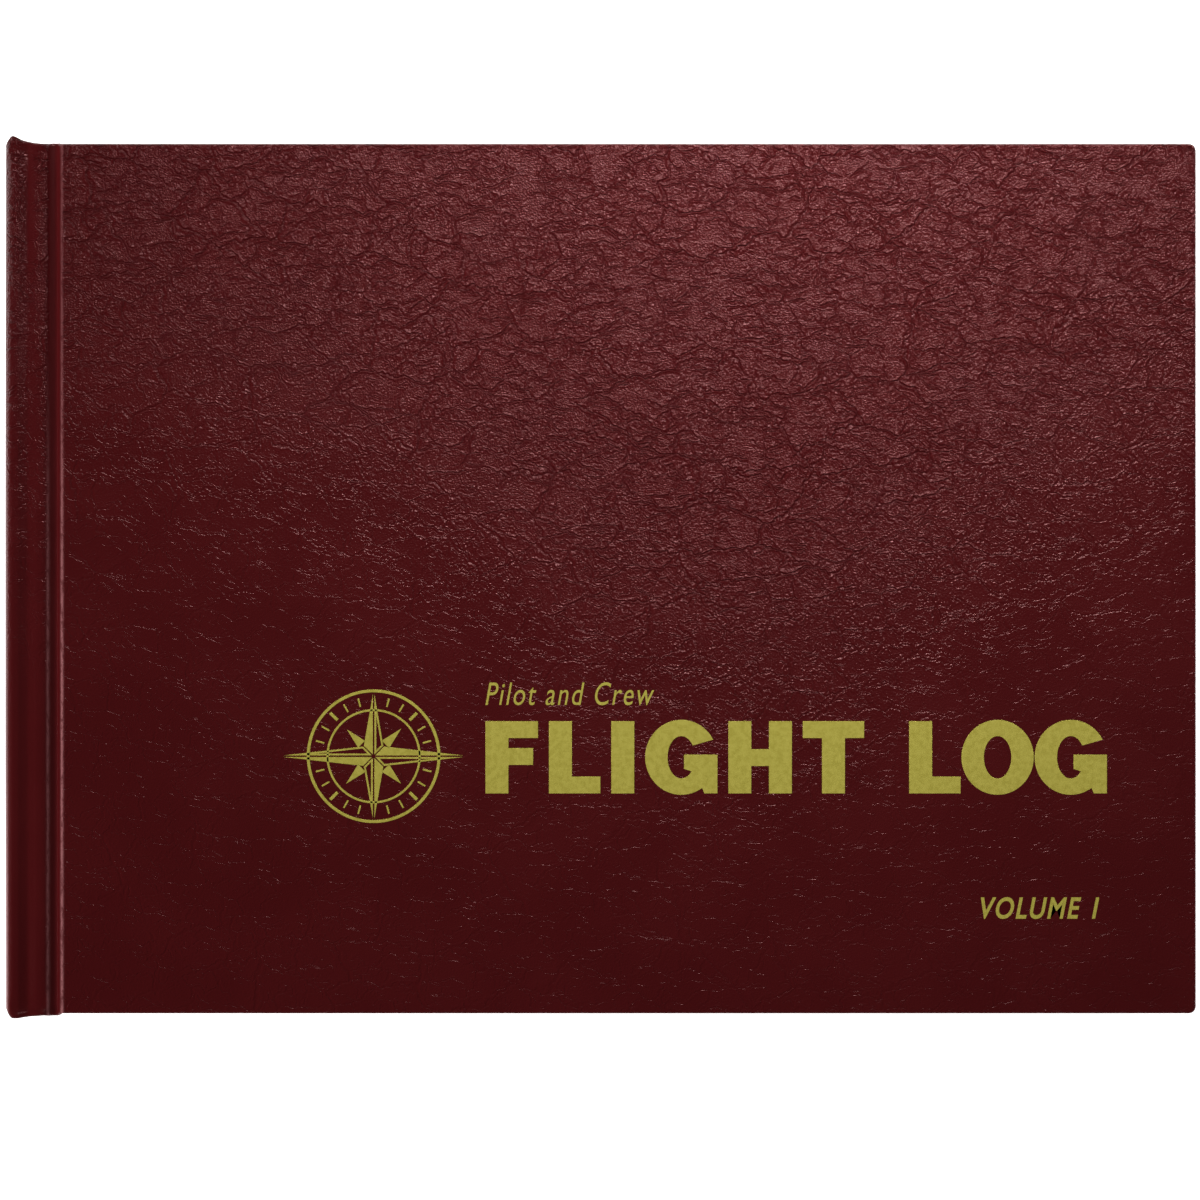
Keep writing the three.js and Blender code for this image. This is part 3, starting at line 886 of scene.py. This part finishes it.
def foil_piece(name, curve):
    """Turns a filled curve into a thin closed foil shape on the front cover."""
    outline = add_object(name + "_outline", curve)
    bpy.context.view_layer.update()
    mesh = bpy.data.meshes.new_from_object(outline.evaluated_get(bpy.context.evaluated_depsgraph_get()))
    bpy.data.objects.remove(outline)
    with editing(mesh) as shape:
        bmesh.ops.remove_doubles(shape, verts=shape.verts, dist=2e-7)
        bmesh.ops.dissolve_degenerate(shape, dist=1e-7, edges=shape.edges)
        bmesh.ops.recalc_face_normals(shape, faces=shape.faces)
    keep_places(mesh, np.array([v.co for v in mesh.vertices]) / MM)
    mesh.transform(Matrix.Translation(row_point(0, 0, FOIL_Z)))
    mesh.name = name
    mesh.materials.clear()
    mesh.materials.append(FOIL)
    piece = add_object(name, mesh)
    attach(piece, "front_cover")
    return piece


def foil_shape(name, outlines):
    """Closed outlines in millimetres; an outline inside another is a hole."""
    curve = bpy.data.curves.new(name, "CURVE")
    curve.dimensions = "2D"
    curve.fill_mode = "BOTH"
    curve.extrude = FOIL_DEPTH * MM
    curve.bevel_depth = FOIL_BEVEL * MM
    curve.bevel_resolution = 1
    curve.offset = -FOIL_BEVEL * MM
    for outline in outlines:
        spline = curve.splines.new("POLY")
        spline.points.add(len(outline) - 1)
        for point, (x, y) in zip(spline.points, outline):
            point.co = (x * MM, y * MM, 0, 1)
        spline.use_cyclic_u = True
    foil_piece(name, curve)


def foil_words(name, words, left, right, low, high, weight):
    """Words in the plain built-in letters, fitted to a box on the cover."""
    curve = bpy.data.curves.new(name, "FONT")
    curve.body = words
    curve.size = WORD_SIZE * MM
    curve.shear = WORD_SLANT
    curve.offset = weight * MM
    curve.extrude = FOIL_DEPTH * MM
    curve.space_character = WORD_SPACING
    curve.resolution_u = 6
    piece = foil_piece(name, curve)
    places = np.array([v.co for v in piece.data.vertices])
    near, far = places.min(0), places.max(0)
    wanted_low = row_point(left, low, FOIL_Z)
    wanted_high = row_point(right, high, FOIL_Z)
    for k in range(2):
        scale = (wanted_high[k] - wanted_low[k]) / (far[k] - near[k])
        places[:, k] = wanted_low[k] + (places[:, k] - near[k]) * scale
    piece.data.vertices.foreach_set("co", places.astype(np.float32).ravel())
    piece.data.update()


CAP = 13.2  # height of the title's capitals
STEM = 4.2  # width of their upright strokes
BAR = 3.1  # height of their level strokes
ROUND_X, ROUND_Y = 6.6, CAP / 2 + 0.25  # half widths of the round letters
BOWL_X, BOWL_Y = ROUND_X - STEM + 0.1, ROUND_Y - BAR + 0.1  # half widths of the space inside them


# Each letter gives its width and its outlines.
def letter_f():
    width, arm, arm_low = 9.6, 8.7, 5.2
    return width, [[(0, 0), (STEM, 0), (STEM, arm_low), (arm, arm_low), (arm, arm_low + BAR),
                    (STEM, arm_low + BAR), (STEM, CAP - BAR), (width, CAP - BAR), (width, CAP), (0, CAP)]]


def letter_l():
    width = 9.4
    return width, [[(0, 0), (width, 0), (width, BAR), (STEM, BAR), (STEM, CAP), (0, CAP)]]


def letter_i():
    return STEM, [[(0, 0), (STEM, 0), (STEM, CAP), (0, CAP)]]


def letter_h():
    width, bar_low = 11.6, 5.0
    far = width - STEM
    return width, [[(0, 0), (STEM, 0), (STEM, bar_low), (far, bar_low), (far, 0), (width, 0), (width, CAP),
                    (far, CAP), (far, bar_low + BAR), (STEM, bar_low + BAR), (STEM, CAP), (0, CAP)]]


def letter_t():
    width = 11.2
    left, right = (width - STEM) / 2, (width + STEM) / 2
    return width, [[(left, 0), (right, 0), (right, CAP - BAR), (width, CAP - BAR), (width, CAP), (0, CAP),
                    (0, CAP - BAR), (left, CAP - BAR)]]


def letter_o():
    outer = ellipse(ROUND_X, CAP / 2, ROUND_X, ROUND_Y, 72)
    inner = ellipse(ROUND_X, CAP / 2, BOWL_X, BOWL_Y, 72)
    return 2 * ROUND_X, [outer, inner]


def letter_g():
    width = 2 * ROUND_X
    outer = arc(ROUND_X, CAP / 2, ROUND_X, ROUND_Y, 28, 305, 60)
    inner = arc(ROUND_X, CAP / 2, BOWL_X, BOWL_Y, 318, 34, 54)
    shelf = ROUND_X + 0.5
    spur = [(width - 2.4, 0), (width, 0), (width, 7.1), (shelf, 7.1), (shelf, 4.5)]
    return width, [outer + spur + inner]


LETTERS = {"F": letter_f, "L": letter_l, "I": letter_i, "G": letter_g, "H": letter_h, "T": letter_t,
           "O": letter_o}


def title_word(word, left, base, width):
    """Capitals set so that the word fills the width."""
    shapes = [LETTERS[c]() for c in word]
    gap = (width - sum(w for w, _ in shapes)) / (len(word) - 1)
    outlines, x = [], left
    for w, loops in shapes:
        outlines += [[(x + px, base + py) for px, py in loop] for loop in loops]
        x += w + gap
    return outlines


TITLE_LEFT, TITLE_BASE = 87.9, -39.2
title = title_word("FLIGHT", TITLE_LEFT, TITLE_BASE, 69.1) + title_word("LOG", 165.2, TITLE_BASE, 36.1)
foil_shape("foil_title", title)


def degree_mark(k):
    """Inner end, outer end and half width of a mark of the ring; every third one is heavier."""
    return (9.3, 10.9, 0.16) if k % 3 else (9.3, 11.2, 0.28)


def compass_rose(cx, cy):
    """Two rings and the marks between them, left out where the star's points pass."""
    outlines = []
    for radius, width in ((12.2, 0.55), (8.6, 0.4)):
        outlines.append(ellipse(cx, cy, radius, radius, 120))
        outlines.append(ellipse(cx, cy, radius - width, radius - width, 120))
    for k in range(24):
        if k % 6 == 0:
            continue
        along, across = directions(15 * k)
        inner, outer, half = degree_mark(k)
        outlines.append([tuple(np.array((cx, cy)) + along * r + across * h)
                         for r, h in ((inner, -half), (outer, -half), (outer, half), (inner, half))])
    return outlines


def inset_triangle(corners, gap):
    """The same triangle with every side moved inwards by the gap."""
    p = np.array(corners)
    sides = np.array([np.linalg.norm(p[(k + 1) % 3] - p[(k + 2) % 3]) for k in range(3)])
    centre = (p * sides[:, None]).sum(0) / sides.sum()
    (ax, ay), (bx, by) = p[1] - p[0], p[2] - p[0]
    radius = abs(ax * by - ay * bx) / sides.sum()
    return [tuple(centre + (q - centre) * (1 - gap / radius)) for q in p]


def star_points(cx, cy):
    """Four long points, each half solid and half outlined, with four short solid points between."""
    outlines = []
    middle = np.array((cx, cy))
    for quarter, reach in ((0, 16.8), (90, 11.6), (180, 16.8), (270, 11.6)):
        along, across = directions(quarter)
        for side in (1, -1):
            ends = ((0.25, 0.12), (1.9, 1.8), (reach, 0.12))
            half = [middle + along * r + across * side * h for r, h in ends]
            outlines.append(inset_triangle(half, 0.02))
            if side < 0:
                outlines.append(inset_triangle(half, 0.36))
        along, across = directions(quarter + 45)
        ends = ((3.1, -0.9), (6.9, 0), (3.1, 0.9))
        outlines.append([tuple(middle + along * r + across * h) for r, h in ends])
    return outlines


EMBLEM = (67.5, -32.4)
foil_shape("foil_compass_rings", compass_rose(*EMBLEM))
foil_shape("foil_compass_star", star_points(*EMBLEM))
foil_words("foil_upper_line", "Pilot and Crew", TITLE_LEFT, 118.7, -23.1, -18.9, 0.0)
foil_words("foil_lower_line", "VOLUME 1", 178.3, 199.9, -62.1, -58.1, 0.2)


# ---------------------------------------------------------------- floor, light and camera
def floor_material():
    """Pale paper sweep, lit from within a little, and clear from below so that the underside shows."""
    material, s, surface = new_material("Pale floor")
    surface.inputs["Base Color"].default_value = (0.88, 0.88, 0.88, 1)
    surface.inputs["Roughness"].default_value = 0.9
    surface.inputs["Specular IOR Level"].default_value = 0.1
    surface.inputs["Emission Color"].default_value = (1, 1, 1, 1)
    surface.inputs["Emission Strength"].default_value = 0.95
    clear = s.node("ShaderNodeBsdfTransparent")
    below = s.node("ShaderNodeNewGeometry").outputs["Backfacing"]
    mixed = s.node("ShaderNodeMixShader", {0: below, 1: surface.outputs[0], 2: clear.outputs[0]})
    s.feed(material.node_tree.nodes["Material Output"].inputs["Surface"], mixed.outputs[0])
    return material


FLOOR_HALF = 6.0
FLOOR_Z = -0.06  # low enough for the back cover and its leaves to swing open above it
floor_mesh = bpy.data.meshes.new("floor")
corners = [(x * FLOOR_HALF, y * FLOOR_HALF, FLOOR_Z) for x, y in ((-1, -1), (1, -1), (1, 1), (-1, 1))]
floor_mesh.from_pydata(corners, [], [(0, 1, 2, 3)])
floor = add_object("floor", floor_mesh)
floor_mesh.materials.append(floor_material())


def softbox(name, place, aim, width, height, power):
    """A flat lamp, in metres and watts, pointed at a place."""
    lamp = bpy.data.lights.new(name, "AREA")
    lamp.shape = "RECTANGLE"
    lamp.size, lamp.size_y = width, height
    lamp.energy = power
    made = add_object(name, lamp)
    made.location = place
    made.rotation_euler = (Vector(aim) - Vector(place)).to_track_quat("-Z", "Y").to_euler()
    return made


head_light = softbox("head_softbox", (0.052, 0.36, 0.32), (0.042, 0.115, 0.0), 0.16, 0.08, 0.235)
head_light.data.spread = math.radians(46)
for name, side, power in (("spine_fill", -1, 6.6), ("fore_edge_fill", 1, 2.7)):
    fill = softbox(name, (side * 0.70, -0.12, 0.36), (0.0, 0.0, 0.0), 0.5, 0.3, power)
    fill.visible_glossy = False  # a polarised fill adds no glare

world = bpy.data.worlds.new("studio")
bpy.context.scene.world = world
world.use_nodes = True
sky = Shader(world.node_tree)
seen = sky.node("ShaderNodeLightPath").outputs["Is Camera Ray"]
backdrop = world.node_tree.nodes["Background"]
backdrop.inputs["Color"].default_value = (1.0, 1.0, 1.0, 1)
sky.feed(backdrop.inputs["Strength"], sky.math("ADD", sky.math("MULTIPLY", seen, 0.95), 0.05))

camera_data = bpy.data.cameras.new("camera")
camera_data.lens = 100
camera_data.sensor_width = 36
camera = add_object("camera", camera_data)
VIEW_WIDTH = 218.95 * MM  # what the camera takes in at the level of the front cover
VIEW_Y = -3.9 * MM  # the view's middle is a little below the book's
away = VIEW_WIDTH * camera_data.lens / camera_data.sensor_width
camera.location = (0.0, VIEW_Y, cad_box[1].z + away)
bpy.context.scene.camera = camera
bpy.context.scene.view_settings.view_transform = "Standard"
